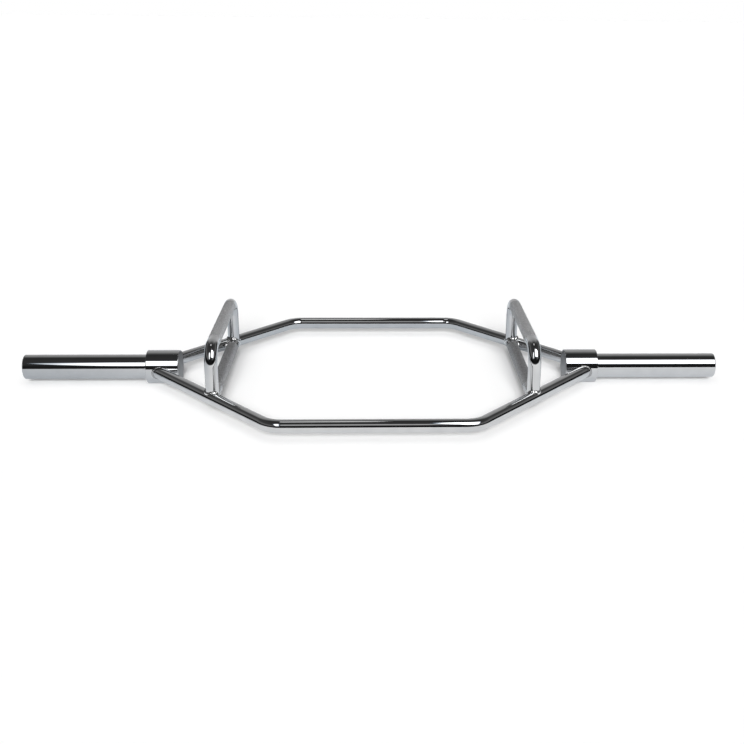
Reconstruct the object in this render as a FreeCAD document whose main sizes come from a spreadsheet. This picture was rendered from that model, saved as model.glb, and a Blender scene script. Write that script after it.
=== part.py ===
import FreeCAD, Part
import math
import os
import Sketcher
from FreeCAD import Vector

# Hex trap bar, lying level with its two collars on the floor.
# X runs along the loading sleeves, Y from front to back and Z up.
# The origin is on the floor, under the middle of the hexagon.

doc = FreeCAD.newDocument("hex_trap_bar")

# Driving dimensions, in millimetres
DRIVING = [
    ("sleeve_diameter", 50, "loading sleeve, outside"),
    ("sleeve_length", 250, "loading sleeve, from the collar to its end"),
    ("sleeve_bore", 38, "loading sleeve, inside"),
    ("sleeve_round", 2, "rounding of the sleeve's outer edge"),
    ("spigot_diameter", 46, "end of the sleeve inside the collar, narrowed by a conical seat"),
    ("spigot_clearance", 0.05, "radial gap between sleeve and collar"),
    ("collar_diameter", 68, "collar, outside"),
    ("collar_length", 67, "collar, along the sleeve"),
    ("collar_round", 1.5, "rounding of the collar's outer edges"),
    ("collar_spacing", 796, "between the inner faces of the two collars"),
    ("seam_depth", 2.5, "groove of the weld between spigot and collar"),
    ("plug_thickness", 8, "discs that close the sleeve"),
    ("plug_clearance", 0.05, "radial gap between disc and sleeve"),
    ("cap_recess", 1.5, "outer disc below the sleeve's end"),
    ("cap_chamfer", 1, "edge of the outer disc"),
    ("frame_bar_diameter", 25.4, "round bar of the hexagon"),
    ("frame_depth", 636, "between the centre lines of the front and rear bar"),
    ("frame_straight", 376, "front and rear bar, from corner to corner"),
    ("frame_bend_radius", 50, "bends of the hexagon, at the centre line"),
    ("frame_drop", 3.5, "hexagon's plane below the sleeve axis"),
    ("frame_landing", 36, "from the collar's inner face to where a bar's centre line lands"),
    ("handle_diameter", 25, "round bar of all four handles"),
    ("handle_spacing", 619, "between left and right handles"),
    ("leg_inset", 8, "from the end of the low handle's centre line to the leg that stands on it"),
    ("raised_height", 96, "raised grip above the hexagon's plane"),
    ("raised_bend_radius", 32, "bends of the raised handle, at the centre line"),
    ("weld_leg", 3.5, "how far a bead reaches along each piece"),
    ("low_weld_leg", 3, "the same, along a low handle"),
]

sizes = doc.addObject("Spreadsheet::Sheet", "Sizes")
for row, (alias, number, note) in enumerate(DRIVING, start=1):
    sizes.set(f"A{row}", note)
    sizes.set(f"B{row}", str(number))
    sizes.setAlias(f"B{row}", alias)
doc.recompute()

# Places that several pieces share, worked out from the driving dimensions
SLEEVE_R = "(Sizes.sleeve_diameter / 2)"
BORE_R = "(Sizes.sleeve_bore / 2)"
SPIGOT_R = "(Sizes.spigot_diameter / 2)"
COLLAR_R = "(Sizes.collar_diameter / 2)"
COLLAR_BORE_R = f"({SPIGOT_R} + Sizes.spigot_clearance)"
PLUG_R = f"({BORE_R} - Sizes.plug_clearance)"
BAR_R = "(Sizes.frame_bar_diameter / 2)"
HANDLE_R = "(Sizes.handle_diameter / 2)"
COLLAR_IN = "(Sizes.collar_spacing / 2)"
COLLAR_OUT = f"({COLLAR_IN} + Sizes.collar_length)"
SEAT_IN = f"({COLLAR_OUT} - ({SLEEVE_R} - {SPIGOT_R}))"
SLEEVE_END = f"({COLLAR_OUT} + Sizes.sleeve_length)"
CAP_FACE = f"({SLEEVE_END} - Sizes.cap_recess)"
AXIS_Z = COLLAR_R
FRAME_Z = f"({AXIS_Z} - Sizes.frame_drop)"

# The hexagon's plan: a corner, where a diagonal lands on the collar's flank, and where it would reach the axis
CORNER_X = "(Sizes.frame_straight / 2)"
CORNER_Y = "(Sizes.frame_depth / 2)"
LANDING_X = f"({COLLAR_IN} + Sizes.frame_landing)"
LANDING_Y = f"sqrt({COLLAR_R} ^ 2 - Sizes.frame_drop ^ 2)"
SLOPE = f"(({CORNER_Y} - {LANDING_Y}) / ({LANDING_X} - {CORNER_X}))"
DIAGONAL_X = f"({CORNER_Y} / {SLOPE})"
DIAGONAL_LENGTH = f"sqrt({DIAGONAL_X} ^ 2 + {CORNER_Y} ^ 2)"
HANDLE_X = "(Sizes.handle_spacing / 2)"
LOW_Y = f"({CORNER_Y} - ({HANDLE_X} - {CORNER_X}) * {SLOPE})"
LEG_Y = f"({LOW_Y} - Sizes.leg_inset)"

SIDES = {"left": -1, "right": 1}
ENDS = {"front": -1, "rear": 1}
TOUCH = 1e-6
pieces = []


def value(expression):
    return float(sizes.evalExpression(expression))


def place(thing, x, y, z, axis=(0, 0, 1), turn=0):
    where = f"vector({x}; {y}; {z})"
    around = "vector({}; {}; {})".format(*axis)
    thing.setExpression("Placement", f"placement({where}; rotation({around}; {turn}))")


def keep(thing, label):
    thing.Label = label
    pieces.append(thing)
    return thing


def origin_feature(body, role):
    return next(feature for feature in body.Origin.OriginFeatures if feature.Role == role)


def add_sketch(body, name, plane):
    sketch = body.newObject("Sketcher::SketchObject", name)
    sketch.AttachmentSupport = [(origin_feature(body, plane), "")]
    sketch.MapMode = "FlatFace"
    return sketch


def pin_point(sketch, geometry, point, x, y):
    """Hold one point of a sketch at the place that two expressions give; "0" lies on the sketch's axis."""
    for kind, axis_line, expression in (("DistanceX", -2, x), ("DistanceY", -1, y)):
        if expression == "0":
            sketch.addConstraint(Sketcher.Constraint("PointOnObject", geometry, point, axis_line))
        else:
            held = Sketcher.Constraint(kind, geometry, point, value(expression))
            index = sketch.addConstraint(held)
            sketch.setExpression(f"Constraints[{index}]", expression)


def draw_outline(sketch, corners):
    spots = [Vector(value(x), value(y), 0) for x, y in corners]
    for index, spot in enumerate(spots):
        following = spots[(index + 1) % len(spots)]
        sketch.addGeometry(Part.LineSegment(spot, following))
    for index, (x, y) in enumerate(corners):
        previous = (index - 1) % len(corners)
        sketch.addConstraint(Sketcher.Constraint("Coincident", previous, 2, index, 1))
        pin_point(sketch, index, 1, x, y)


def draw_circle(sketch, x, y, radius):
    spot = Vector(value(x), value(y), 0)
    circle = sketch.addGeometry(Part.Circle(spot, Vector(0, 0, 1), value(radius)))
    pin_point(sketch, circle, 3, x, y)
    index = sketch.addConstraint(Sketcher.Constraint("Radius", circle, value(radius)))
    sketch.setExpression(f"Constraints[{index}]", radius)


def draw_bend(sketch, start, corner, end, radius):
    """A straight run, a clockwise bend round a corner and a second straight run."""
    first, middle, last = (Vector(value(x), value(y), 0) for x, y in (start, corner, end))
    before = (first - middle).normalize()
    after = (last - middle).normalize()
    half_angle = before.getAngle(after) / 2
    tangent = value(radius) / math.tan(half_angle)
    centre = middle + (before + after).normalize() * (value(radius) / math.sin(half_angle))
    bend_in = middle + before * tangent
    bend_out = middle + after * tangent
    begin_angle = math.atan2(bend_out.y - centre.y, bend_out.x - centre.x)
    finish_angle = math.atan2(bend_in.y - centre.y, bend_in.x - centre.x)
    circle = Part.Circle(centre, Vector(0, 0, 1), value(radius))
    run_in = sketch.addGeometry(Part.LineSegment(first, bend_in))
    bend = sketch.addGeometry(Part.ArcOfCircle(circle, begin_angle, finish_angle))
    run_out = sketch.addGeometry(Part.LineSegment(bend_out, last))
    mark = sketch.addGeometry(Part.Point(middle), True)
    sketch.addConstraint(Sketcher.Constraint("Tangent", run_in, 2, bend, 2))
    sketch.addConstraint(Sketcher.Constraint("Tangent", bend, 1, run_out, 1))
    sketch.addConstraint(Sketcher.Constraint("PointOnObject", mark, 1, run_in))
    sketch.addConstraint(Sketcher.Constraint("PointOnObject", mark, 1, run_out))
    pin_point(sketch, run_in, 1, *start)
    pin_point(sketch, run_out, 2, *end)
    pin_point(sketch, mark, 1, *corner)
    index = sketch.addConstraint(Sketcher.Constraint("Radius", bend, value(radius)))
    sketch.setExpression(f"Constraints[{index}]", radius)


def turned_body(label, side, corners):
    """A piece turned about the sleeve axis, on the right or, turned round, on the left."""
    body = doc.addObject("PartDesign::Body", label)
    place(body, 0, 0, AXIS_Z, turn=90 - 90 * side)
    section = add_sketch(body, f"{label}_section", "XZ_Plane")
    draw_outline(section, corners)
    turned = body.newObject("PartDesign::Revolution", f"{label}_turned")
    turned.Profile = section
    turned.ReferenceAxis = (origin_feature(body, "X_Axis"), [""])
    turned.Angle = 360
    doc.recompute()
    return body


def round_rims(body, radius, stations, rounding):
    """Round the rims of a turned piece that have the given radius and stand at the given places along it."""
    base = body.Tip
    rims = []
    for number, edge in enumerate(base.Shape.Edges, start=1):
        if not isinstance(edge.Curve, Part.Circle):
            continue
        right_size = math.isclose(edge.Curve.Radius, value(radius), abs_tol=TOUCH)
        along = edge.Curve.Center.x
        if right_size and any(math.isclose(along, value(place_x), abs_tol=TOUCH) for place_x in stations):
            rims.append(f"Edge{number}")
    rounded = body.newObject("PartDesign::Fillet", f"{body.Name}_rounded")
    rounded.Base = (base, rims)
    rounded.setExpression("Radius", rounding)
    doc.recompute()


def bent_bar(label, path_plane, section_plane, section_at, path, radii):
    """A round bar: half its length swept from its middle, then mirrored."""
    body = doc.addObject("PartDesign::Body", label)
    bar_radius, bend_radius = radii
    route = add_sketch(body, f"{label}_route", path_plane)
    draw_bend(route, *path, bend_radius)
    section = add_sketch(body, f"{label}_section", section_plane)
    draw_circle(section, *section_at, bar_radius)
    doc.recompute()
    half = body.newObject("PartDesign::AdditivePipe", f"{label}_half")
    half.Profile = section
    half.Spine = (route, ["Edge1", "Edge2", "Edge3"])
    doc.recompute()
    whole = body.newObject("PartDesign::Mirrored", f"{label}_whole")
    whole.Originals = [half]
    whole.MirrorPlane = (origin_feature(body, section_plane), [""])
    body.Tip = whole
    doc.recompute()
    return body


def cylinder(name, radius, length):
    rod = doc.addObject("Part::Cylinder", name)
    rod.setExpression("Radius", radius)
    rod.setExpression("Height", length)
    return rod


def joined(kind, name, first, second):
    """What two pieces have in common, or both of them together, as the kind says."""
    made = doc.addObject(kind, name)
    made.Base = first
    made.Tool = second
    return made


def cut(name, base, tools):
    """What is left of a piece after each of the tools is taken from it."""
    for number, tool in enumerate(tools, start=1):
        left_over = doc.addObject("Part::Cut", f"{name}_cut_{number}")
        left_over.Base = base
        left_over.Tool = tool
        base = left_over
    doc.recompute()
    return base


def make_sleeve(name, side):
    outline = [
        (COLLAR_IN, BORE_R),
        (COLLAR_IN, f"{SPIGOT_R} - Sizes.seam_depth"),
        (f"{COLLAR_IN} + Sizes.seam_depth", SPIGOT_R),
        (SEAT_IN, SPIGOT_R),
        (COLLAR_OUT, SLEEVE_R),
        (SLEEVE_END, SLEEVE_R),
        (SLEEVE_END, BORE_R),
    ]
    sleeve = turned_body(f"{name}_sleeve", side, outline)
    round_rims(sleeve, SLEEVE_R, [SLEEVE_END], "Sizes.sleeve_round")
    return keep(sleeve, f"{name}_sleeve")


def make_collar(name, side):
    outline = [
        (COLLAR_IN, f"{COLLAR_BORE_R} + Sizes.seam_depth"),
        (COLLAR_IN, COLLAR_R),
        (COLLAR_OUT, COLLAR_R),
        (COLLAR_OUT, f"{SLEEVE_R} + Sizes.spigot_clearance"),
        (SEAT_IN, COLLAR_BORE_R),
        (f"{COLLAR_IN} + Sizes.seam_depth", COLLAR_BORE_R),
    ]
    collar = turned_body(f"{name}_collar", side, outline)
    round_rims(collar, COLLAR_R, [COLLAR_IN, COLLAR_OUT], "Sizes.collar_round")
    return keep(collar, f"{name}_collar")


def make_seam_weld(name, side):
    """The bead that fills the groove between spigot and collar, faced off flush with the collar."""
    outline = [
        (COLLAR_IN, f"{SPIGOT_R} - Sizes.seam_depth"),
        (COLLAR_IN, f"{COLLAR_BORE_R} + Sizes.seam_depth"),
        (f"{COLLAR_IN} + Sizes.seam_depth", COLLAR_BORE_R),
        (f"{COLLAR_IN} + Sizes.seam_depth", SPIGOT_R),
    ]
    keep(turned_body(f"{name}_sleeve_seam_weld", side, outline), f"{name}_sleeve_seam_weld")


def make_plugs(name, side):
    """The discs that close the sleeve: one flush with the collar's inner face, one at the outer end."""
    plug = [
        (COLLAR_IN, "0"),
        (COLLAR_IN, PLUG_R),
        (f"{COLLAR_IN} + Sizes.plug_thickness", PLUG_R),
        (f"{COLLAR_IN} + Sizes.plug_thickness", "0"),
    ]
    cap = [
        (f"{CAP_FACE} - Sizes.plug_thickness", "0"),
        (f"{CAP_FACE} - Sizes.plug_thickness", PLUG_R),
        (f"{CAP_FACE} - Sizes.cap_chamfer", PLUG_R),
        (CAP_FACE, f"{PLUG_R} - Sizes.cap_chamfer"),
        (CAP_FACE, "0"),
    ]
    keep(turned_body(f"{name}_collar_plug", side, plug), f"{name}_collar_plug")
    keep(turned_body(f"{name}_sleeve_end_cap", side, cap), f"{name}_sleeve_end_cap")


def make_frame_bar(name, end):
    """One side of the hexagon: a bar with two bends, its ends coped to the collars' flanks."""
    label = f"{name}_frame_bar"
    path = (("0", CORNER_Y), (CORNER_X, CORNER_Y), (f"{CORNER_X} + {DIAGONAL_X}", "0"))
    radii = (BAR_R, "Sizes.frame_bend_radius")
    bar = bent_bar(label, "XY_Plane", "YZ_Plane", (CORNER_Y, "0"), path, radii)
    place(bar, 0, 0, FRAME_Z, turn=90 - 90 * end)
    uncoped = bar.Tip
    cope = add_sketch(bar, f"{label}_cope", "YZ_Plane")
    draw_circle(cope, "0", "Sizes.frame_drop", COLLAR_R)
    doc.recompute()
    coped = bar.newObject("PartDesign::Pocket", f"{label}_coped")
    coped.Profile = cope
    coped.Type = "ThroughAll"
    coped.SideType = "Symmetric"
    doc.recompute()
    if coped.Shape.Volume >= uncoped.Shape.Volume:
        raise RuntimeError(f"{label}: the cope cuts nothing")
    return keep(bar, label)


def make_low_handle(name, side, frame_bars):
    """A straight bar between the diagonals, in the hexagon's plane, its ends coped to them."""
    label = f"{name}_low_handle"
    blank = cylinder(f"{label}_blank", HANDLE_R, f"2 * {LOW_Y}")
    place(blank, f"{side} * {HANDLE_X}", f"-{LOW_Y}", FRAME_Z, axis=(1, 0, 0), turn=-90)
    return keep(cut(label, blank, frame_bars), label)


def make_raised_handle(name, side, frame_bars, low_handle):
    """A U of round bar whose legs stand where low handle and diagonals meet, each foot coped to both."""
    label = f"{name}_raised_handle"
    path = (("0", "Sizes.raised_height"), (LEG_Y, "Sizes.raised_height"), (LEG_Y, "0"))
    radii = (HANDLE_R, "Sizes.raised_bend_radius")
    blank = bent_bar(f"{label}_blank", "YZ_Plane", "XZ_Plane", ("0", "Sizes.raised_height"), path, radii)
    place(blank, f"{side} * {HANDLE_X}", 0, FRAME_Z)
    return keep(cut(label, blank, [*frame_bars, low_handle]), label)


def make_corner_welds(corner, side, end, frame_bar, raised_handle, low_handle):
    """The three beads on one diagonal. Each is the space close to both of the pieces that it joins,
    and the low handle's bead keeps to the diagonal's inner side."""
    bead_bar_r = f"{BAR_R} + Sizes.weld_leg"
    bead_handle_r = f"{HANDLE_R} + Sizes.weld_leg"

    along_bar = cylinder(f"{corner}_along_bar", bead_bar_r, DIAGONAL_LENGTH)
    across = (f"{end} * {CORNER_Y}", f"{side} * {DIAGONAL_X}", 0)
    place(along_bar, f"{side} * {CORNER_X}", f"{end} * {CORNER_Y}", FRAME_Z, axis=across, turn=90)

    collar_skin = cylinder(f"{corner}_collar_skin", f"{COLLAR_R} + Sizes.weld_leg", "Sizes.collar_length")
    collar_core = cylinder(f"{corner}_collar_core", COLLAR_R, "Sizes.collar_length")
    for round_collar in (collar_skin, collar_core):
        place(round_collar, f"{side} * {COLLAR_IN}", 0, AXIS_Z, axis=(0, 1, 0), turn=90 * side)
    bead = joined("Part::Common", f"{corner}_collar_bead", along_bar, collar_skin)
    keep(cut(f"{corner}_collar_weld", bead, [collar_core, frame_bar]), f"{corner}_collar_weld")

    bead_low_r = f"{HANDLE_R} + Sizes.low_weld_leg"
    low_reach = f"({bead_bar_r}) * {DIAGONAL_LENGTH} / {DIAGONAL_X} + ({bead_low_r}) * {SLOPE}"
    low_skin = cylinder(f"{corner}_low_skin", bead_low_r, low_reach)
    place(low_skin, f"{side} * {HANDLE_X}", f"{end} * {LOW_Y}", FRAME_Z, axis=(1, 0, 0), turn=90 * end)

    leg_skin = cylinder(f"{corner}_leg_skin", bead_handle_r, f"2 * ({bead_bar_r})")
    place(leg_skin, f"{side} * {HANDLE_X}", f"{end} * {LEG_Y}", FRAME_Z)
    under_leg = joined("Part::Fuse", f"{corner}_under_leg", along_bar, low_skin)
    bead = joined("Part::Common", f"{corner}_leg_bead", under_leg, leg_skin)
    neighbours = [frame_bar, raised_handle, low_handle]
    leg_weld = keep(cut(f"{corner}_leg_weld", bead, neighbours), f"{corner}_leg_weld")

    outer_side = cylinder(f"{corner}_outer_side", bead_bar_r, DIAGONAL_LENGTH)
    outer_x = f"{side} * ({CORNER_X} + {CORNER_Y} / {DIAGONAL_LENGTH} * {BAR_R} / 2)"
    outer_y = f"{end} * ({CORNER_Y} + {DIAGONAL_X} / {DIAGONAL_LENGTH} * {BAR_R} / 2)"
    place(outer_side, outer_x, outer_y, FRAME_Z, axis=across, turn=90)
    bead = joined("Part::Common", f"{corner}_low_bead", along_bar, low_skin)
    keep(cut(f"{corner}_low_weld", bead, [outer_side, *neighbours, leg_weld]), f"{corner}_low_weld")


frame_bars = {name: make_frame_bar(name, end) for name, end in ENDS.items()}
for name, side in SIDES.items():
    make_sleeve(name, side)
    make_collar(name, side)
    make_seam_weld(name, side)
    make_plugs(name, side)
    both_bars = list(frame_bars.values())
    low_handle = make_low_handle(name, side, both_bars)
    raised_handle = make_raised_handle(name, side, both_bars, low_handle)
    for end_name, end in ENDS.items():
        corner = f"{end_name}_{name}"
        make_corner_welds(corner, side, end, frame_bars[end_name], raised_handle, low_handle)
doc.recompute()

for thing in doc.Objects:
    if {"Invalid", "Error"} & set(thing.State):
        raise RuntimeError(f"{thing.Label} did not build: {thing.State}")
for piece in pieces:
    if piece.Shape.isNull() or not piece.Shape.isValid() or len(piece.Shape.Solids) != 1:
        raise RuntimeError(f"{piece.Label} is not one valid solid")

os.makedirs("parts", exist_ok=True)
for piece in pieces:
    piece.Shape.exportStep(os.path.join("parts", f"{piece.Label}.step"))
    print(f"{piece.Label}: {piece.Shape.Volume / 1000:.1f} cm3")
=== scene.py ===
import math
from collections import namedtuple

import bpy
import numpy as np
from mathutils import Matrix, Vector


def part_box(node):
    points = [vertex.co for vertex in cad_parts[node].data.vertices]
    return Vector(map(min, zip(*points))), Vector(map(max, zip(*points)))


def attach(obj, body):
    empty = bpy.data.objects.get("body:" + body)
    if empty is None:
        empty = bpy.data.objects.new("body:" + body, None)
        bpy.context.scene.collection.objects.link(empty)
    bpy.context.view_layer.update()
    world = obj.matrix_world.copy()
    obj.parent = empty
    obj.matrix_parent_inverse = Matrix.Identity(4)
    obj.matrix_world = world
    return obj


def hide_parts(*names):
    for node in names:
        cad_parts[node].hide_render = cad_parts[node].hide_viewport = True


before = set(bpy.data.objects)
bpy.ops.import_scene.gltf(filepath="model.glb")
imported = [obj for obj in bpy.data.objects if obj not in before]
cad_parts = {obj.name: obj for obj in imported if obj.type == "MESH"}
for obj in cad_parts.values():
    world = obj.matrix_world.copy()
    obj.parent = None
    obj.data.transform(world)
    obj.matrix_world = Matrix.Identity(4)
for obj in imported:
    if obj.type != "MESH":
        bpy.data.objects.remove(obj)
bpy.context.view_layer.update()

# Hex trap bar, in metres, in the frame's axes: X along the sleeves, Y to the back, Z up
MM = 0.001
X, Y, Z = 0, 1, 2
SIDES = {"left": -1, "right": 1}
ENDS = {"front": -1, "rear": 1}
RIGHT = np.array([1.0, 0.0, 0.0])
BACK = np.array([0.0, 1.0, 0.0])
UP = np.array([0.0, 0.0, 1.0])
BOX_DECIMALS = 4


def extent(node, axis):
    """Where a CAD node begins and ends along an axis, to a tenth of a millimetre."""
    low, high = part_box(node)
    return round(low[axis], BOX_DECIMALS), round(high[axis], BOX_DECIMALS)


def middle_and_half(node, axis):
    low, high = extent(node, axis)
    return (low + high) / 2, (high - low) / 2


# Sizes that the frame gives
AXIS_Z, COLLAR_R = middle_and_half("right_collar", Z)
COLLAR_IN, COLLAR_OUT = extent("right_collar", X)
SLEEVE_R = middle_and_half("right_sleeve", Z)[1]
SLEEVE_END = extent("right_sleeve", X)[1]
FRAME_Z, BAR_R = middle_and_half("rear_frame_bar", Z)
CORNER_Y = extent("rear_frame_bar", Y)[1] - BAR_R
HANDLE_X, HANDLE_R = middle_and_half("right_raised_handle", X)
LEG_Y = extent("right_raised_handle", Y)[1] - HANDLE_R
RAIL_Z = extent("right_raised_handle", Z)[1] - HANDLE_R
SEAM_R = middle_and_half("right_sleeve_seam_weld", Z)[1]
SEAM_IN = extent("right_sleeve_seam_weld", X)[1]

# Sizes that no box shows
CORNER_X = 188 * MM
FRAME_BEND = 50 * MM
FRAME_LANDING = 36 * MM
RAIL_BEND = 32 * MM
SLEEVE_BORE_R = 19 * MM
SPIGOT_R = 23 * MM
SEAM_BORE_R = 20.5 * MM
SLEEVE_ROUND = 2 * MM
COLLAR_ROUND = 1.5 * MM
LANDING_Y = math.sqrt(COLLAR_R**2 - (AXIS_Z - FRAME_Z) ** 2)
SLOPE = (CORNER_Y - LANDING_Y) / (COLLAR_IN + FRAME_LANDING - CORNER_X)
LOW_Y = CORNER_Y - (HANDLE_X - CORNER_X) * SLOPE

# A long straight piece as a line with a radius
Rod = namedtuple("Rod", "point direction radius")


def unit(*vector):
    vector = np.array(vector, float)
    return vector / np.linalg.norm(vector)


def unit_rows(vectors):
    return vectors / np.linalg.norm(vectors, axis=1)[:, None]


def diagonal(side, end):
    """A slanting run of a frame bar, pointing from the handle to the collar."""
    return Rod(np.array([side * HANDLE_X, end * LOW_Y, FRAME_Z]), unit(side, -end * SLOPE, 0), BAR_R)


def collar_rod(side):
    return Rod(np.array([side * COLLAR_IN, 0, AXIS_Z]), side * RIGHT, COLLAR_R)


def leg_rod(side, end):
    return Rod(np.array([side * HANDLE_X, end * LEG_Y, FRAME_Z]), UP, HANDLE_R)


def low_rod(side, end):
    return Rod(np.array([side * HANDLE_X, end * LOW_Y, FRAME_Z]), -end * BACK, HANDLE_R)


def slide(points, direction, rod):
    """Move points along a direction until they meet the rod's surface."""
    across = points - rod.point
    across = across - np.outer(across @ rod.direction, rod.direction)
    step = direction - (direction @ rod.direction) * rod.direction
    a = step @ step
    b = across @ step
    c = (across**2).sum(1) - rod.radius**2
    travel = (-b - np.sqrt(np.maximum(b * b - a * c, 0))) / a
    return points + np.outer(travel, direction)


def slide_to_first(points, direction, rods):
    """Move points along a direction until they meet the first of some rods, and tell which one each met."""
    hits = np.stack([slide(points, direction, rod) for rod in rods])
    met = (hits @ direction).argmin(0)
    return hits[met, np.arange(len(points))], met


# Mesh building, with faces that meet at more than the sharp angle, in degrees, kept apart in the shading
SHARP_ANGLE = 35


class Skin:
    """Points, faces and surface coordinates of one piece, gathered grid by grid."""

    def __init__(self):
        self.points = []
        self.count = 0
        self.faces = []
        self.coords = []
        self.finish = []
        self.smooth = []

    def add_points(self, points):
        start = self.count
        self.points.append(np.asarray(points, float).reshape(-1, 3))
        self.count += len(self.points[-1])
        return start

    def add_faces(self, corners, coords, finish, smooth=True):
        self.faces.extend(corners.tolist())
        self.coords.append(coords.reshape(-1, 2))
        self.finish.extend(finish.tolist())
        self.smooth.extend([smooth] * len(corners))

    def add_grid(self, rows, girth, loop=False, finish=None, knurled=None):
        """Rows of points, each closed round; loop joins the last row to the first. For each gap between rows,
        finish gives the material's number and knurled says whether it is cut into small pyramids."""
        count, columns = rows.shape[:2]
        start = self.add_points(rows)
        length = np.linalg.norm(np.diff(rows, axis=0), axis=2).mean(1)
        along = np.concatenate([[0], np.cumsum(length)])
        gaps = count if loop else count - 1
        if loop:
            along = np.append(along, along[-1] + np.linalg.norm(rows[0] - rows[-1], axis=1).mean())
        finish = np.zeros(gaps, int) if finish is None else np.array(finish)
        knurled = np.zeros(gaps, bool) if knurled is None else knurled
        row, column = np.meshgrid(np.arange(gaps), np.arange(columns), indexing="ij")

        def put(chosen, steps, smooth):
            i, j = row[chosen], column[chosen]
            rings = [start + (i + di) % count * columns for di, _ in steps]
            corners = np.stack([ring + (j + dj) % columns for ring, (_, dj) in zip(rings, steps)], -1)
            around = np.stack([(j + dj) * girth / columns for _, dj in steps], -1)
            lengthwise = np.stack([along[i + di] for di, _ in steps], -1)
            self.add_faces(corners, np.stack([around, lengthwise], -1), finish[i], smooth)

        cut = knurled[row]
        even = (row + column) % 2 == 0
        put(~cut, [(0, 0), (0, 1), (1, 1), (1, 0)], True)
        put(cut & even, [(0, 0), (0, 1), (1, 0)], False)
        put(cut & even, [(0, 1), (1, 1), (1, 0)], False)
        put(cut & ~even, [(0, 0), (0, 1), (1, 1)], False)
        put(cut & ~even, [(0, 0), (1, 1), (1, 0)], False)
        return start

    def close(self, start, columns, outward):
        """A fan over one ring of points; outward is 1 where the ring runs round the way out."""
        ring = np.concatenate(self.points)[start:start + columns]
        hub = self.add_points(ring.mean(0))
        this = start + np.arange(columns)
        following = start + (np.arange(columns) + 1) % columns
        pair = (this, following) if outward > 0 else (following, this)
        corners = np.stack([*pair, np.full(columns, hub)], -1)
        self.add_faces(corners, np.zeros((columns, 3, 2)), np.zeros(columns, int))

    def build(self, name, materials, node):
        """Makes the piece, which takes the place of a CAD node."""
        mesh = bpy.data.meshes.new(name)
        mesh.from_pydata(np.concatenate(self.points).tolist(), [], self.faces)
        layer = mesh.uv_layers.new(name="surface")
        layer.data.foreach_set("uv", np.concatenate(self.coords).astype(np.float32).ravel())
        mesh.polygons.foreach_set("material_index", self.finish)
        mesh.polygons.foreach_set("use_smooth", self.smooth)
        for material in materials:
            mesh.materials.append(material)
        mesh.set_sharp_from_angle(angle=math.radians(SHARP_ANGLE))
        mesh.update()
        piece = bpy.data.objects.new(name, mesh)
        bpy.context.scene.collection.objects.link(piece)
        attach(piece, "root")
        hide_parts(node)
        return piece


def bent_path(corners, bend, straight_step, bend_step):
    """Points and directions along a line through corners, each inner corner rounded to the bend radius."""
    corners = [np.array(corner, float) for corner in corners]
    points, directions = [], []

    def run(begin, finish):
        heading = unit(*(finish - begin))
        count = max(2, int(np.linalg.norm(finish - begin) / straight_step) + 1)
        for share in np.linspace(0, 1, count):
            points.append(begin + (finish - begin) * share)
            directions.append(heading)

    begin = corners[0]
    for before, corner, after in zip(corners, corners[1:], corners[2:]):
        heading_in = unit(*(corner - before))
        heading_out = unit(*(after - corner))
        turn = math.acos(np.clip(heading_in @ heading_out, -1, 1))
        setback = bend * math.tan(turn / 2)
        run(begin, corner - heading_in * setback)
        inward = unit(*(heading_out - heading_in * (heading_in @ heading_out)))
        centre = corner - heading_in * setback + inward * bend
        steps = int(bend * turn / bend_step) + 2
        for angle in np.linspace(0, turn, steps)[1:-1]:
            points.append(centre + bend * (math.sin(angle) * heading_in - math.cos(angle) * inward))
            directions.append(math.cos(angle) * heading_in + math.sin(angle) * inward)
        begin = corner + heading_out * setback
    run(begin, corners[-1])
    return np.array(points), np.array(directions)


def tube_rows(points, directions, binormal, radius, columns):
    """A ring of points round each point of a path that stays square to its binormal."""
    angles = np.linspace(0, 2 * math.pi, columns, endpoint=False)
    normals = np.cross(binormal, directions)
    outward = np.cos(angles)[None, :, None] * normals[:, None, :] + np.sin(angles)[None, :, None] * binormal
    return points[:, None, :] + radius * outward, outward


# Frame bars: round bar with two bends, its ends coped to the collars
BAR_COLUMNS = 96
BAR_STEP = 12 * MM
BAR_BEND_STEP = 1.6 * MM
BAR_STOP = 45 * MM


def add_frame_bar(name, end, materials):
    """The path stops short of each collar, and the last ring of points slides on to its flank."""
    reach = HANDLE_X - CORNER_X + (LOW_Y - COLLAR_R - BAR_STOP) / SLOPE
    stop_y = CORNER_Y - reach * SLOPE
    half_plan = [(CORNER_X, CORNER_Y), (CORNER_X + reach, stop_y)]
    plan = [(-x, y) for x, y in reversed(half_plan)] + half_plan
    corners = [(end * x, end * y, FRAME_Z) for x, y in plan]
    points, directions = bent_path(corners, FRAME_BEND, BAR_STEP, BAR_BEND_STEP)
    rows, _ = tube_rows(points, directions, UP, BAR_R, BAR_COLUMNS)
    first = slide(rows[0], -directions[0], collar_rod(-end))
    last = slide(rows[-1], directions[-1], collar_rod(end))
    rows = np.concatenate([first[None], rows, last[None]])
    skin = Skin()
    start = skin.add_grid(rows, 2 * math.pi * BAR_R)
    skin.close(start, BAR_COLUMNS, -1)
    skin.close(start + (len(rows) - 1) * BAR_COLUMNS, BAR_COLUMNS, 1)
    skin.build(f"{name}_bar", materials, f"{name}_frame_bar")


# Handles: smooth bar with a knurled stretch, a field of small pyramids between crossing grooves
GRIP_COLUMNS = 104
KNURL_STEP = 0.85 * MM
KNURL_PEAK = 0.12 * MM
KNURL_VALLEY = -0.3 * MM
HANDLE_STEP = 6 * MM
HANDLE_BEND_STEP = 1.6 * MM
LEG_STOP = 20 * MM
LOW_STOP = 25 * MM
RAIL_GRIP = (-115 * MM, 130 * MM)
LOW_GRIP = (-118 * MM, 135 * MM)


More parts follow.
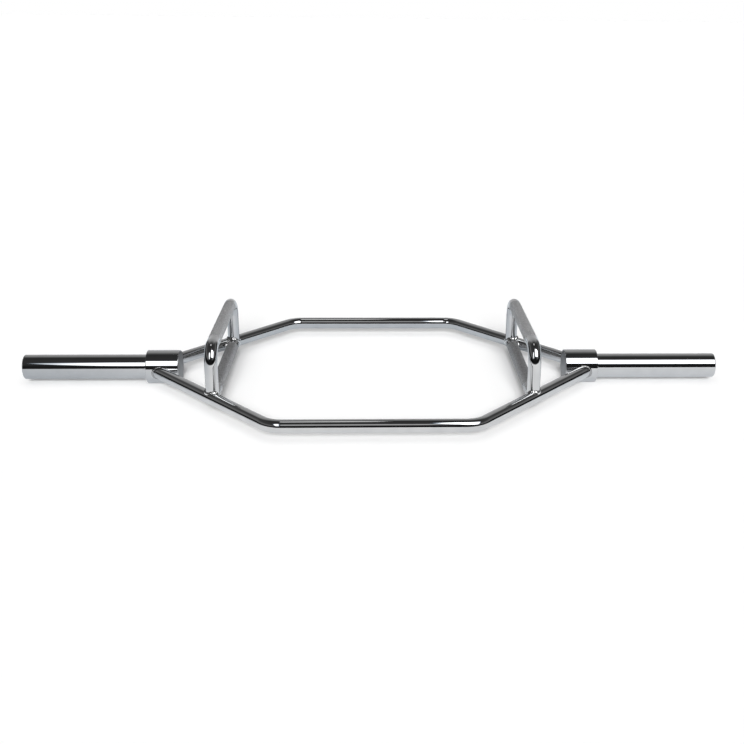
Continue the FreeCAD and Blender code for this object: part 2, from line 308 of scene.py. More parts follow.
def grip_rows(begin, finish, x, z):
    """Rows across a knurled stretch from one place along Y to another."""
    count = int(round(abs(finish - begin) / KNURL_STEP))
    places = np.linspace(begin, finish, count + 1)
    points = np.stack([np.full_like(places, x), places, np.full_like(places, z)], -1)
    directions = np.tile(BACK, (len(points), 1))
    rows, outward = tube_rows(points, directions, RIGHT, HANDLE_R, GRIP_COLUMNS)
    row, column = np.meshgrid(np.arange(len(rows)), np.arange(GRIP_COLUMNS), indexing="ij")
    lift = np.where((row + column) % 2 == 0, KNURL_PEAK, KNURL_VALLEY)
    lift[0] = 0
    lift[-1] = 0
    return rows + lift[..., None] * outward


def add_handle(name, near, grip, far, materials, node):
    """Joins the rows of the plain near end, the knurled grip and the plain far end into one bar."""
    rows = np.concatenate([*near, grip, *far])
    begin = sum(len(stretch) for stretch in near)
    knurled = np.zeros(len(rows) - 1, bool)
    knurled[begin:begin + len(grip) - 1] = True
    skin = Skin()
    start = skin.add_grid(rows, 2 * math.pi * HANDLE_R, finish=knurled.astype(int), knurled=knurled)
    skin.close(start, GRIP_COLUMNS, -1)
    skin.close(start + (len(rows) - 1) * GRIP_COLUMNS, GRIP_COLUMNS, 1)
    skin.build(name, materials, node)


def add_raised_handle(name, side, materials):
    """A U with legs that stand where low handle and diagonals meet, its rail knurled between the bends."""
    x = side * HANDLE_X
    foot = FRAME_Z + LEG_STOP

    def half(end, grip_end):
        corners = [(x, end * LEG_Y, foot), (x, end * LEG_Y, RAIL_Z), (x, grip_end, RAIL_Z)]
        points, directions = bent_path(corners, RAIL_BEND, HANDLE_STEP, HANDLE_BEND_STEP)
        return points[:-1], directions[:-1]

    up_points, up_directions = half(-1, RAIL_GRIP[0])
    down_points, down_directions = half(1, RAIL_GRIP[1])
    up_rows, _ = tube_rows(up_points, up_directions, RIGHT, HANDLE_R, GRIP_COLUMNS)
    down_rows, _ = tube_rows(down_points[::-1], -down_directions[::-1], RIGHT, HANDLE_R, GRIP_COLUMNS)
    first, _ = slide_to_first(up_rows[0], -UP, [diagonal(side, -1), low_rod(side, -1)])
    last, _ = slide_to_first(down_rows[-1], -UP, [diagonal(side, 1), low_rod(side, 1)])
    grip = grip_rows(*RAIL_GRIP, x, RAIL_Z)
    add_handle(f"{name}_raised_grip", [first[None], up_rows], grip, [down_rows, last[None]],
               materials, f"{name}_raised_handle")


def add_low_handle(name, side, materials):
    """A straight bar between the diagonals, knurled in its middle."""
    x = side * HANDLE_X
    stop = LOW_Y - LOW_STOP

    def plain(begin, finish):
        corners = [(x, begin, FRAME_Z), (x, finish, FRAME_Z)]
        points, directions = bent_path(corners, 0, HANDLE_STEP, HANDLE_BEND_STEP)
        return tube_rows(points, directions, RIGHT, HANDLE_R, GRIP_COLUMNS)[0]

    near = plain(-stop, LOW_GRIP[0])[:-1]
    far = plain(LOW_GRIP[1], stop)[1:]
    first = slide(near[0], -BACK, diagonal(side, -1))
    last = slide(far[-1], BACK, diagonal(side, 1))
    grip = grip_rows(*LOW_GRIP, x, FRAME_Z)
    add_handle(f"{name}_low_grip", [first[None], near], grip, [far, last[None]],
               materials, f"{name}_low_handle")


# Turned pieces: sleeves and collars, with rounded edges
TURNED_COLUMNS = 160
EDGE_STEPS = 6
SUPPORT = 0.4 * MM
SLEEVE_STEP = 10 * MM
COLLAR_STEPS = 8
BORE_CHAMFER = 0.6 * MM


def rounded(corner, before, after, radius):
    """Points of a quarter round at a profile's corner, with a held point on each side."""
    corner, before, after = (np.array(point, float) for point in (corner, before, after))
    toward_in = unit(*(before - corner))
    toward_out = unit(*(after - corner))
    centre = corner + radius * (toward_in + toward_out)
    arc = []
    for angle in np.linspace(0, math.pi / 2, EDGE_STEPS + 1):
        arc.append(centre - radius * (math.cos(angle) * toward_out + math.sin(angle) * toward_in))
    return [arc[0] + toward_in * SUPPORT, *arc, arc[-1] + toward_out * SUPPORT]


def add_turned(name, side, profile, materials, node):
    """A ring turned about the sleeve axis; the profile gives places along it and radii, outside first."""
    profile = np.array(profile, float)
    angles = np.linspace(0, 2 * math.pi, TURNED_COLUMNS, endpoint=False)
    heading = side * RIGHT
    normal = np.cross(UP, heading)
    outward = np.cos(angles)[:, None] * normal + np.sin(angles)[:, None] * UP
    centres = np.outer(profile[:, 0], heading) + AXIS_Z * UP
    rows = centres[:, None, :] + profile[:, 1][:, None, None] * outward
    satin_face = np.isclose(profile[:, 0], COLLAR_IN) & np.isclose(np.roll(profile[:, 0], -1), COLLAR_IN)
    skin = Skin()
    skin.add_grid(rows, 2 * math.pi * profile[:, 1].max(), loop=True, finish=satin_face.astype(int))
    skin.build(name, materials, node)


def add_sleeve(name, side, materials):
    """A tube whose narrow inner end runs through the collar to its inner face."""
    begin = COLLAR_OUT - BORE_CHAMFER
    wall = [(place, SLEEVE_R) for place in np.arange(begin, SLEEVE_END - SLEEVE_STEP, SLEEVE_STEP)]
    edge = rounded((SLEEVE_END, SLEEVE_R), (COLLAR_OUT, SLEEVE_R), (SLEEVE_END, 0), SLEEVE_ROUND)
    bore = [(SLEEVE_END, SLEEVE_BORE_R + SUPPORT), (SLEEVE_END, SLEEVE_BORE_R), (COLLAR_IN, SLEEVE_BORE_R)]
    spigot = [(COLLAR_IN, SEAM_BORE_R), (SEAM_IN, SPIGOT_R), (begin - SLEEVE_R + SPIGOT_R, SPIGOT_R)]
    profile = [*wall, *edge, *bore, *spigot]
    add_turned(f"{name}_plate_sleeve", side, profile, materials, f"{name}_sleeve")


def add_collar(name, side, materials):
    """A ring round the sleeve's narrow end, with the seam weld in its inner face."""
    inner = rounded((COLLAR_IN, COLLAR_R), (COLLAR_IN, 0), (COLLAR_OUT, COLLAR_R), COLLAR_ROUND)
    outer = rounded((COLLAR_OUT, COLLAR_R), (COLLAR_IN, COLLAR_R), (COLLAR_OUT, 0), COLLAR_ROUND)
    wall = [(place, COLLAR_R) for place in np.linspace(COLLAR_IN, COLLAR_OUT, COLLAR_STEPS + 1)[1:-1]]
    bore_out = [(COLLAR_OUT, SLEEVE_R + BORE_CHAMFER), (COLLAR_OUT - BORE_CHAMFER, SLEEVE_R)]
    bore_in = [(COLLAR_IN, SEAM_R)]
    profile = [*inner, *wall, *outer, *bore_out, *bore_in]
    add_turned(f"{name}_plate_collar", side, profile, materials, f"{name}_collar")


# Weld beads. Heap, ripple and lump are shares of a bead's leg, and girth is counted in legs. Start is how
# many radii off the joint a bead's ring begins its slide on to the base. Lag is the angle in radians by which
# the middle of a ripple runs ahead of its ends.
BEAD_ROWS = 264
BEAD_ARC = 11
BEAD_START = 10
BEAD_GIRTH = 4
HANDLE_BEAD = 3.6 * MM
COLLAR_BEAD = 2.0 * MM
BEAD_SINK = 0.2 * MM
BEAD_PITCH = 3.4 * MM
BEAD_CROWN = 0.66
BEAD_HEAP = 0.3
BEAD_RIPPLE = 0.12
RIPPLE_LAG = 2.2
RIPPLE_MIDDLE = 0.5
BEAD_LUMP = 0.16
LUMP_CYCLES = (2, 3, 5, 8, 13)
LUMP_FALL = 0.4
TINY = 1e-6


def lumps(angles, seed):
    """A smooth random wave round a bead, about -1 to 1."""
    chance = np.random.default_rng(seed)
    wave = np.zeros_like(angles)
    for cycles in LUMP_CYCLES:
        wave += chance.normal() * np.cos(cycles * angles + chance.uniform(0, 2 * math.pi)) / cycles**LUMP_FALL
    return np.tanh(wave)


def off_axis(points, rod):
    """What leads to points square off a rod's centre line, and the feet of those lines."""
    across = points - rod.point
    along = np.outer(across @ rod.direction, rod.direction)
    return across - along, rod.point + along


def add_bead(name, rod, bases, leg, seed, materials):
    """A bead in the corner where a rod's end meets the sides of base rods, reaching leg along each. Where the
    surfaces run on flat into one another, it is heaped up."""
    angles = np.linspace(0, 2 * math.pi, BEAD_ROWS, endpoint=False)
    side_way = unit(*np.cross(rod.direction, bases[0].direction))
    other_way = np.cross(rod.direction, side_way)
    normal = np.cos(angles)[:, None] * side_way + np.sin(angles)[:, None] * other_way
    far_ring = rod.point + rod.radius * normal + BEAD_START * rod.radius * rod.direction
    root, met = slide_to_first(far_ring, -rod.direction, bases)

    def on_met(choices):
        return np.stack(choices)[met, np.arange(BEAD_ROWS)]

    base_normal = unit_rows(on_met([off_axis(root, base)[0] for base in bases]))
    alike = (normal * base_normal).sum(1)
    run_out = normal - alike[:, None] * base_normal
    run_out = run_out / np.maximum(np.linalg.norm(run_out, axis=1), TINY)[:, None]

    heap = BEAD_HEAP * np.maximum(alike, 0)
    count = round(2 * math.pi * rod.radius / BEAD_PITCH)
    size = leg * (1 + BEAD_LUMP * lumps(angles, seed))[:, None]
    on_rod = root + size * rod.direction
    on_base = root + size * run_out
    laid = []
    for base in bases:
        spoke, foot = off_axis(on_base, base)
        laid.append(foot + unit_rows(spoke) * base.radius)
    on_base = on_met(laid)
    crest = root + BEAD_CROWN * (on_rod - root + on_base - root)

    rows = [root - BEAD_SINK * (normal + base_normal), on_rod - BEAD_SINK * normal]
    for share in np.linspace(0, 1, BEAD_ARC):
        curve = (1 - share) ** 2 * on_rod + 2 * share * (1 - share) * crest + share**2 * on_base
        phase = count * angles + RIPPLE_LAG * math.sin(math.pi * share)
        ripple = BEAD_RIPPLE * (np.abs(np.cos(phase / 2)) - RIPPLE_MIDDLE)
        lift = (heap + ripple) * math.sin(math.pi * share)
        rows.append(curve + lift[:, None] * size * unit_rows(normal + base_normal))
    rows.append(on_base - BEAD_SINK * base_normal)
    section = np.stack(rows, 1)
    skin = Skin()
    skin.add_grid(section, BEAD_GIRTH * leg, loop=True)
    piece = skin.build(name, materials, name.replace("bead", "weld"))
    face_out(piece.data)


def face_out(mesh):
    """Turn the faces of a closed mesh over if they look inward."""
    volume = sum(face.center.dot(face.normal) * face.area for face in mesh.polygons)
    if volume < 0:
        mesh.flip_normals()


# Materials. A mix node's colours are some of its inputs, and the mixed one is one of its outputs.
WHITE = (1.0, 1.0, 1.0)
MIX_COLOURS = slice(6, 8)
MIX_RESULT = 2
BEFORE_BOUNCE = 0.5


class Graph:
    """A node tree written as nested calls."""

    def __init__(self, tree):
        tree.nodes.clear()
        self.tree = tree

    def add(self, kind, sockets=None, **settings):
        node = self.tree.nodes.new(kind)
        for key, value in settings.items():
            setattr(node, key, value)
        for key, value in (sockets or {}).items():
            if isinstance(value, bpy.types.NodeSocket):
                self.tree.links.new(value, node.inputs[key])
            else:
                node.inputs[key].default_value = value
        return node

    def math(self, operation, *values):
        node = self.add("ShaderNodeMath", dict(enumerate(values)), operation=operation)
        return node.outputs[0]

    def ramp(self, factor, stops):
        """Colours or grey levels at places from 0 to 1."""
        node = self.add("ShaderNodeValToRGB", {"Fac": factor})
        elements = node.color_ramp.elements
        while len(elements) < len(stops):
            elements.new(1)
        for element, (place, level) in zip(elements, stops):
            element.position = place
            element.color = (*level, 1) if isinstance(level, tuple) else (level, level, level, 1)
        return node.outputs["Color"]

    def noise(self, vector, scale, detail=3.0, roughness=0.5):
        sockets = {"Vector": vector, "Scale": scale, "Detail": detail, "Roughness": roughness}
        return self.add("ShaderNodeTexNoise", sockets).outputs["Fac"]

    def stretched(self, vector, scale):
        return self.add("ShaderNodeMapping", {"Vector": vector, "Scale": scale}).outputs["Vector"]

    def fade(self, value, begin, finish):
        """0 before begin, 1 after finish, smooth between."""
        sockets = {"Value": value, "From Min": begin, "From Max": finish}
        return self.add("ShaderNodeMapRange", sockets, interpolation_type="SMOOTHSTEP").outputs["Result"]

    def undiffused(self):
        """1 on light that no matt surface has scattered yet, else 0."""
        depth = self.add("ShaderNodeLightPath").outputs["Diffuse Depth"]
        return self.math("LESS_THAN", depth, BEFORE_BOUNCE)

    def scaled(self, colour, share):
        node = self.add("ShaderNodeVectorMath", {0: colour, "Scale": share}, operation="SCALE")
        return node.outputs["Vector"]

    def mix(self, factor, first, second):
        """The first colour where factor is 0, the second where it is 1."""
        node = self.add("ShaderNodeMix", {"Factor": factor}, data_type="RGBA")
        for socket, value in zip(node.inputs[MIX_COLOURS], (first, second)):
            if isinstance(value, bpy.types.NodeSocket):
                self.tree.links.new(value, socket)
            else:
                socket.default_value = (*value, 1)
        return node.outputs[MIX_RESULT]


def new_graph(name):
    material = bpy.data.materials.new(name)
    material.use_nodes = True
    return material, Graph(material.node_tree)


# Noise in the plate. Grains and scales are per metre, the scales round and along a bar. Each range gives the
# noise levels between which a colour or roughness goes from its first to its second value.
CLOUD_GRAIN = 35.0
KNURL_GRAIN = 320.0
CLOUD_RANGE = (0.3, 0.7)
LINE_SCALE = (700, 9, 1)
LINE_DETAIL = 4.0
LINE_SHARE = 0.25
LINE_RANGE = (0.35, 0.75)
SWELL_SCALE = (60, 14, 1)
SWELL_DETAIL = 1.0
PLATE_BUMP = 0.2 * MM
FACE_GRAIN = 60.0
RING_GRAIN = 2200.0
RING_RANGE = (0.3, 0.7)
RING_DEPTH = 0.25
RING_BUMP = 0.1 * MM


def plated(name, tint, gloss, streak, grain=CLOUD_GRAIN, metal=1.0):
    """Bright plate: tint is its darkest and lightest colour, gloss its lowest and highest roughness,
    streak how deep the faint drawing lines along the bar are, grain how fine the colour varies and
    metal how much of it shines as metal, the rest being dull."""
    material, graph = new_graph(name)
    coordinates = graph.add("ShaderNodeTexCoord")
    surface = coordinates.outputs["UV"]
    place = coordinates.outputs["Object"]
    cloud = graph.noise(place, grain)
    lines = graph.noise(graph.stretched(surface, LINE_SCALE), 1.0, detail=LINE_DETAIL)
    swell = graph.noise(graph.stretched(surface, SWELL_SCALE), 1.0, detail=SWELL_DETAIL)
    height = graph.math("ADD", graph.math("MULTIPLY", lines, LINE_SHARE), swell)
    bump = graph.add("ShaderNodeBump", {"Height": height, "Strength": streak, "Distance": PLATE_BUMP})
    shader = graph.add("ShaderNodeBsdfPrincipled", {
        "Base Color": graph.ramp(cloud, list(zip(CLOUD_RANGE, tint))),
        "Metallic": metal,
        "Roughness": graph.ramp(lines, list(zip(LINE_RANGE, gloss))),
        "Normal": bump.outputs["Normal"],
    })
    graph.add("ShaderNodeOutputMaterial", {"Surface": shader.outputs["BSDF"]})
    return material


def faced(name, tint, gloss):
    """Satin plate over a face that was turned, with fine rings round the sleeve axis."""
    material, graph = new_graph(name)
    place = graph.add("ShaderNodeTexCoord").outputs["Object"]
    parts = graph.add("ShaderNodeSeparateXYZ", {"Vector": place})
    rise = graph.math("SUBTRACT", parts.outputs["Z"], AXIS_Z)
    squares = [graph.math("POWER", part, 2.0) for part in (parts.outputs["Y"], rise)]
    radius = graph.math("SQRT", graph.math("ADD", *squares))
    rings = graph.noise(graph.add("ShaderNodeCombineXYZ", {"X": radius}).outputs["Vector"], RING_GRAIN)
    cloud = graph.noise(place, FACE_GRAIN)
    bump = graph.add("ShaderNodeBump", {"Height": rings, "Strength": RING_DEPTH, "Distance": RING_BUMP})
    shader = graph.add("ShaderNodeBsdfPrincipled", {
        "Base Color": graph.ramp(cloud, list(zip(CLOUD_RANGE, tint))),
        "Metallic": 1.0,
        "Roughness": graph.ramp(rings, list(zip(RING_RANGE, gloss))),
        "Normal": bump.outputs["Normal"],
    })
    graph.add("ShaderNodeOutputMaterial", {"Surface": shader.outputs["BSDF"]})
    return material


CHROME_TINT = ((0.60, 0.605, 0.615), (0.66, 0.665, 0.67))
# The rail's knurl tint is painted light, lighter than the low handles' knurl tint, which is painted shade
RAIL_LIT_TINT = ((0.68, 0.68, 0.685), (0.98, 0.98, 0.985))
LOW_SHADED_TINT = ((0.46, 0.46, 0.465), (0.76, 0.76, 0.765))
# Darker plate on the low handles' plain ends: painted shade for the dark that they reflect
LOW_END_SHADED_TINT = ((0.36, 0.36, 0.365), (0.44, 0.44, 0.445))
# Lighter plate on the beads at the handles' feet: painted highlight, brighter than the chrome
FOOT_HIGHLIGHT_TINT = ((0.7, 0.695, 0.69), (0.86, 0.86, 0.86))
# Darker plate on the collar beads: painted shade for the dark that their hollows reflect
WELD_SHADED_TINT = ((0.28, 0.277, 0.274), (0.46, 0.46, 0.46))
FACED_TINT = ((0.3, 0.3, 0.305), (0.36, 0.36, 0.365))
KNURL_GLOSS = (0.5, 0.65)
RAIL_METAL = 0.94
frame_chrome = plated("frame_chrome", CHROME_TINT, gloss=(0.02, 0.045), streak=0.01)
sleeve_chrome = plated("sleeve_chrome", CHROME_TINT, gloss=(0.02, 0.05), streak=0.015)
collar_chrome = plated("collar_chrome", CHROME_TINT, gloss=(0.03, 0.07), streak=0.015)
# Knurl plates: the rail's is painted lighter and the low handles' painted darker, as painted light and shade
rail_lit_chrome = plated("rail_lit_chrome", RAIL_LIT_TINT, KNURL_GLOSS, streak=0.1, grain=KNURL_GRAIN, metal=RAIL_METAL)
low_shaded_chrome = plated("low_shaded_chrome", LOW_SHADED_TINT, KNURL_GLOSS, streak=0.1, grain=KNURL_GRAIN)
# The low handles' plain ends: darker plate as painted shade for the dark that they reflect
low_end_shaded_chrome = plated("low_end_shaded_chrome", LOW_END_SHADED_TINT, gloss=(0.2, 0.3), streak=0.05)
# The beads at the handles' feet: lighter plate as painted highlight for brighter glints
foot_highlight_chrome = plated("foot_highlight_chrome", FOOT_HIGHLIGHT_TINT, gloss=(0.04, 0.1), streak=0.1)
# The collar beads: darker plate as painted shade for the dark that their hollows reflect
weld_chrome = plated("weld_chrome", WELD_SHADED_TINT, gloss=(0.06, 0.14), streak=0.1)
faced_steel = faced("faced_steel", FACED_TINT, gloss=(0.4, 0.55))

# The pieces in their places. Each bead has a seed of its own, counted from the middle of the bar.
CLOSING_PARTS = ("sleeve_seam_weld", "collar_plug", "sleeve_end_cap")
MIDDLE_SEED = 26
SIDE_SEEDS = 10
END_SEEDS = 3


def add_corner_beads(corner, side, end):
    """The three beads round one foot of a raised handle and at its diagonal's collar."""
    seed = MIDDLE_SEED + SIDE_SEEDS * side + END_SEEDS * end
    base = diagonal(side, end)
    to_frame = Rod(base.point, -base.direction, BAR_R)
    low = low_rod(side, end)
    leg = leg_rod(side, end)
    add_bead(f"{corner}_collar_bead", to_frame, [collar_rod(side)], COLLAR_BEAD, seed, [weld_chrome])
    add_bead(f"{corner}_leg_bead", leg, [base, low], HANDLE_BEAD, seed + 1, [foot_highlight_chrome])
    add_bead(f"{corner}_low_bead", low, [base], HANDLE_BEAD, seed + 2, [foot_highlight_chrome])


def add_side(name, side):
    """A side's sleeve, collar, handles and beads, and the plate on the parts that close the sleeve."""
    add_sleeve(name, side, [sleeve_chrome, faced_steel])
    add_collar(name, side, [collar_chrome, faced_steel])
    add_raised_handle(name, side, [frame_chrome, rail_lit_chrome])
    add_low_handle(name, side, [low_end_shaded_chrome, low_shaded_chrome])
    for part in CLOSING_PARTS:
        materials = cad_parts[f"{name}_{part}"].data.materials
        materials.clear()
        materials.append(faced_steel)
    for end_name, end in ENDS.items():
        add_corner_beads(f"{end_name}_{name}", side, end)


# Floor: white to the camera, with the soft shadow under the bars. In the metal it carries painted shade:
# darker to the left, the far right, the back and far in front, and cooler to the left and back, by
# levels at places along X and Y.
FLOOR_HALF = 40.0
FLOOR_GLOW = 0.1
FLOOR_SHADE = 0.9
MIRRORED_REACH = 4.0
MIRRORED_SHADE_ACROSS = [(-3.0, 0.2), (-1.5, 0.5), (-0.8, (0.7, 0.72, 0.74)), (-0.3, 0.95), (0.35, 0.95),
                   (0.6, 1.0), (1.0, 1.0), (3.0, 0.8)]
MIRRORED_SHADE_DEPTH = [(-1.15, 0.05), (-0.95, 1.0), (-0.5, 1.0), (-0.1, (0.885, 0.9, 0.915)),
                  (0.15, (0.69, 0.73, 0.77))]


def add_floor():
    mesh = bpy.data.meshes.new("floor")
    corners = [(x * FLOOR_HALF, y * FLOOR_HALF, 0) for x, y in ((-1, -1), (1, -1), (1, 1), (-1, 1))]
    mesh.from_pydata(corners, [], [(0, 1, 2, 3)])
    floor = bpy.data.objects.new("floor", mesh)
    bpy.context.scene.collection.objects.link(floor)
    material, graph = new_graph("white_floor")
    material.cycles.emission_sampling = "NONE"
    light = graph.add("ShaderNodeLightPath").outputs
    mirrored = graph.math("MAXIMUM", light["Is Glossy Ray"], light["Is Transmission Ray"])
    seen = graph.math("MULTIPLY", graph.math("MAXIMUM", light["Is Camera Ray"], mirrored), graph.undiffused())
    place = graph.add("ShaderNodeTexCoord").outputs["Object"]
    parts = graph.add("ShaderNodeSeparateXYZ", {"Vector": place}).outputs
    levels = []
    for axis, places in (("X", MIRRORED_SHADE_ACROSS), ("Y", MIRRORED_SHADE_DEPTH)):
        share = graph.add("ShaderNodeMapRange", {
            "Value": parts[axis], "From Min": -MIRRORED_REACH, "From Max": MIRRORED_REACH}).outputs["Result"]
        stops = [((spot + MIRRORED_REACH) / (2 * MIRRORED_REACH), level) for spot, level in places]
        levels.append(graph.ramp(share, stops))
    # Painted shade that only the metal sees: the levels along X and Y multiplied; the camera sees white
    product = graph.add("ShaderNodeVectorMath", dict(enumerate(levels)), operation="MULTIPLY")
    level = graph.mix(mirrored, WHITE, product.outputs["Vector"])
    strength = graph.math("MULTIPLY", seen, FLOOR_GLOW)
    glow = graph.add("ShaderNodeEmission", {"Color": level, "Strength": strength})
    shade = graph.add("ShaderNodeBsdfDiffuse", {"Color": graph.scaled(level, FLOOR_SHADE)})
    shown = graph.add("ShaderNodeAddShader", {0: glow.outputs[0], 1: shade.outputs[0]})
    graph.add("ShaderNodeOutputMaterial", {"Surface": shown.outputs[0]})
    mesh.materials.append(material)


# Softboxes: two, high in front of the bar, one on each side. Each is given by its ends along X, its lower and
# its upper edge in Y and Z, its brightness, how much of its width and height fades out at each edge, and from
# where and how steeply its lower and upper edge draw in towards the left.
Softbox = namedtuple("Softbox", "ends bottom top light fade_left fade_right fade_low fade_high "
                                "round_start round_low round_high")
LEFT_BOX = Softbox(ends=(-1.9, -0.62), bottom=(-2.55, 1.08), top=(-1.6, 2.6), light=2.2,
                   fade_left=0.54, fade_right=0.2, fade_low=0.1, fade_high=0.12,
                   round_start=0.64, round_low=4.2, round_high=1.0)
RIGHT_BOX = Softbox(ends=(0.25, 3.0), bottom=(-2.5, 1.55), top=(-0.95, 3.1), light=3.4,
                    fade_left=0.03, fade_right=0.2, fade_low=0.08, fade_high=0.1,
                    round_start=0.1, round_low=52.0, round_high=32.0)
BOX_DUSK = (0.5, 0.62, 0.78)


def add_softbox(name, box):
    data = bpy.data.lights.new(name, "AREA")
    data.shape = "RECTANGLE"
    low = Vector((sum(box.ends) / 2, *box.bottom))
    high = Vector((sum(box.ends) / 2, *box.top))
    data.size = box.ends[1] - box.ends[0]
    data.size_y = (high - low).length
    data.energy = math.pi * data.size * data.size_y * box.light
    data.use_nodes = True
    graph = Graph(data.node_tree)
    place = graph.add("ShaderNodeNewGeometry").outputs["Parametric"]
    parts = graph.add("ShaderNodeSeparateXYZ", {"Vector": place}).outputs
    left = graph.fade(parts["X"], 0.0, box.fade_left)
    right = graph.fade(graph.math("SUBTRACT", 1.0, parts["X"]), 0.0, box.fade_right)
    short = graph.math("MAXIMUM", graph.math("SUBTRACT", box.round_start, parts["X"]), 0.0)
    bend = graph.math("POWER", short, 2.0)
    above = graph.math("SUBTRACT", parts["Y"], graph.math("MULTIPLY", bend, box.round_low))
    lifted = graph.math("ADD", parts["Y"], graph.math("MULTIPLY", bend, box.round_high))
    bottom = graph.fade(above, 0.0, box.fade_low)
    top = graph.fade(graph.math("SUBTRACT", 1.0, lifted), 0.0, box.fade_high)
    inside = graph.math("MULTIPLY", graph.math("MULTIPLY", left, right), graph.math("MULTIPLY", bottom, top))
    colour = graph.mix(inside, BOX_DUSK, WHITE)
    strength = graph.math("MULTIPLY", inside, graph.undiffused())
    emission = graph.add("ShaderNodeEmission", {"Color": colour, "Strength": strength})
    graph.add("ShaderNodeOutputLight", {"Surface": emission.outputs[0]})
    lamp = bpy.data.objects.new(name, data)
    upward = (high - low).normalized()
    across = Vector(RIGHT)
    turn = Matrix((across, upward, across.cross(upward))).transposed()
    lamp.matrix_world = Matrix.Translation((low + high) / 2) @ turn.to_4x4()
    lamp.visible_camera = False
    lamp.visible_diffuse = False
    bpy.context.scene.collection.objects.link(lamp)


# Front light: a soft lamp that lights the floor from the front and lays the shadow under the bars.
# Its height and width are angles in degrees.
FRONT_HEIGHT = 27
FRONT_WIDTH = 18
FRONT_LIGHT = 3.66


def add_front_light():
    data = bpy.data.lights.new("front_light", "SUN")
    data.energy = FRONT_LIGHT
    data.angle = math.radians(FRONT_WIDTH)
    lamp = bpy.data.objects.new("front_light", data)
    lamp.rotation_euler = (math.radians(90 - FRONT_HEIGHT), 0, 0)
    lamp.visible_glossy = False
    bpy.context.scene.collection.objects.link(lamp)


# Room: white to the camera, a soft light from the front and above to the floor, weaker from behind, and in
# the metal a dark studio with a bright strip overhead, a faint glow between the softboxes and a grey backdrop
# behind. A direction is given by its share along X and by its angle about X, in degrees from the front over
# the top, or, for the sides of the room, by its share along Z.
HALF_TURN = 180
Patch = namedtuple("Patch", "across angle half_across half_angle light")
CEILING_STRIP = Patch(across=-0.06, angle=101, half_across=0.075, half_angle=6, light=1.2)
BETWEEN_BOXES = Patch(across=-0.04, angle=43, half_across=0.12, half_angle=10, light=0.5)
PATCH_POWER = 3.0
PATCH_EDGE = 0.3
SOFT_LIGHT = [(0, 1.0), (96, 1.1), (112, 0.36), (180, 0.36)]
SOFT_REACH = (0.35, 0.65)
MIDDLE_ROOM = [(0.0, 0.012), (22, 0.014), (36, 0.035), (76, 0.04), (104, 0.03),
               (116, 0.083), (128, 0.23), (140, 0.38), (157, 0.43), (180, 0.6)]
SIDE_ROOM = [(0.0, 0.006), (0.22, 0.01), (0.28, 0.08), (0.34, 0.19),
             (0.43, 0.16), (0.52, 0.09), (0.62, 0.055), (1.0, 0.04)]
MIDDLE_END, SIDE_START = 0.35, 0.6


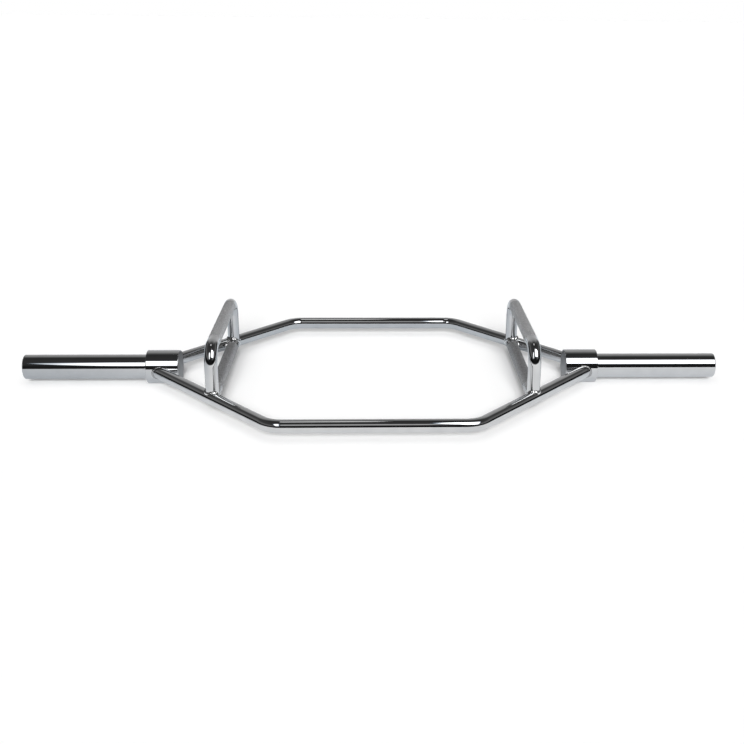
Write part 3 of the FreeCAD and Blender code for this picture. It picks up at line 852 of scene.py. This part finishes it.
def set_studio():
    world = bpy.data.worlds.new("studio")
    bpy.context.scene.world = world
    world.use_nodes = True
    graph = Graph(world.node_tree)
    way = graph.add("ShaderNodeTexCoord").outputs["Generated"]
    parts = graph.add("ShaderNodeSeparateXYZ", {"Vector": way}).outputs
    arc = graph.math("ARCTAN2", parts["Z"], graph.math("MULTIPLY", parts["Y"], -1.0))
    angle = graph.math("DEGREES", arc)
    over = graph.math("DIVIDE", angle, HALF_TURN)
    sideways = graph.math("ABSOLUTE", parts["X"])
    middle = graph.ramp(over, [(turn / HALF_TURN, level) for turn, level in MIDDLE_ROOM])
    side = graph.ramp(parts["Z"], SIDE_ROOM)
    mirrored = graph.mix(graph.fade(sideways, MIDDLE_END, SIDE_START), middle, side)
    for patch in (CEILING_STRIP, BETWEEN_BOXES):
        off_across = graph.math("DIVIDE", graph.math("SUBTRACT", parts["X"], patch.across), patch.half_across)
        off_angle = graph.math("DIVIDE", graph.math("SUBTRACT", angle, patch.angle), patch.half_angle)
        powers = [graph.math("POWER", graph.math("ABSOLUTE", off), PATCH_POWER)
                  for off in (off_across, off_angle)]
        outside = graph.fade(graph.math("ADD", *powers), 1 - PATCH_EDGE, 1 + PATCH_EDGE)
        mirrored = graph.mix(outside, (patch.light, patch.light, patch.light), mirrored)
    soft = graph.ramp(over, [(turn / HALF_TURN, level) for turn, level in SOFT_LIGHT])
    soft = graph.scaled(soft, graph.math("SUBTRACT", 1.0, graph.fade(sideways, *SOFT_REACH)))
    light = graph.add("ShaderNodeLightPath").outputs
    in_metal = graph.math("MAXIMUM", light["Is Glossy Ray"], light["Is Transmission Ray"])
    lit = graph.mix(in_metal, soft, mirrored)
    colour = graph.mix(light["Is Camera Ray"], lit, WHITE)
    background = graph.add("ShaderNodeBackground", {"Color": colour, "Strength": 1.0})
    graph.add("ShaderNodeOutputWorld", {"Surface": background.outputs[0]})


# Camera: in front and above, at the photograph's angle, with its axis a little right of the picture's centre
FRAME_PIXELS = 744
FOCAL_PIXELS = 1051.5
AXIS_PIXELS = 41.9
SENSOR = 36.0
DISTANCE = 2.2
VIEW_END = 200.0
PITCH = math.radians(19.61)
YAW = math.radians(2.533)
ROLL = math.radians(0.689)
TARGET_RIGHT = 84.4 * MM
TARGET_BELOW = 13.8 * MM
TARGET = Vector((TARGET_RIGHT, 0, AXIS_Z - TARGET_BELOW))


def set_camera():
    ahead = Vector((math.sin(YAW) * math.cos(PITCH), math.cos(YAW) * math.cos(PITCH), -math.sin(PITCH)))
    right = ahead.cross(Vector(UP)).normalized()
    above = right.cross(ahead)
    rolled_right = right * math.cos(ROLL) + above * math.sin(ROLL)
    rolled_above = above * math.cos(ROLL) - right * math.sin(ROLL)
    data = bpy.data.cameras.new("camera")
    data.sensor_width = SENSOR
    data.lens = FOCAL_PIXELS / FRAME_PIXELS * SENSOR
    data.shift_x = -AXIS_PIXELS / FRAME_PIXELS
    data.clip_end = VIEW_END
    camera = bpy.data.objects.new("camera", data)
    turn = Matrix((rolled_right, rolled_above, -ahead)).transposed()
    camera.matrix_world = Matrix.Translation(TARGET - ahead * DISTANCE) @ turn.to_4x4()
    bpy.context.scene.collection.objects.link(camera)
    bpy.context.scene.camera = camera


for name, end in ENDS.items():
    add_frame_bar(name, end, [frame_chrome])
for name, side in SIDES.items():
    add_side(name, side)
add_floor()
add_softbox("left_softbox", LEFT_BOX)
add_softbox("right_softbox", RIGHT_BOX)
add_front_light()
set_studio()
set_camera()
bpy.context.scene.view_settings.view_transform = "Standard"
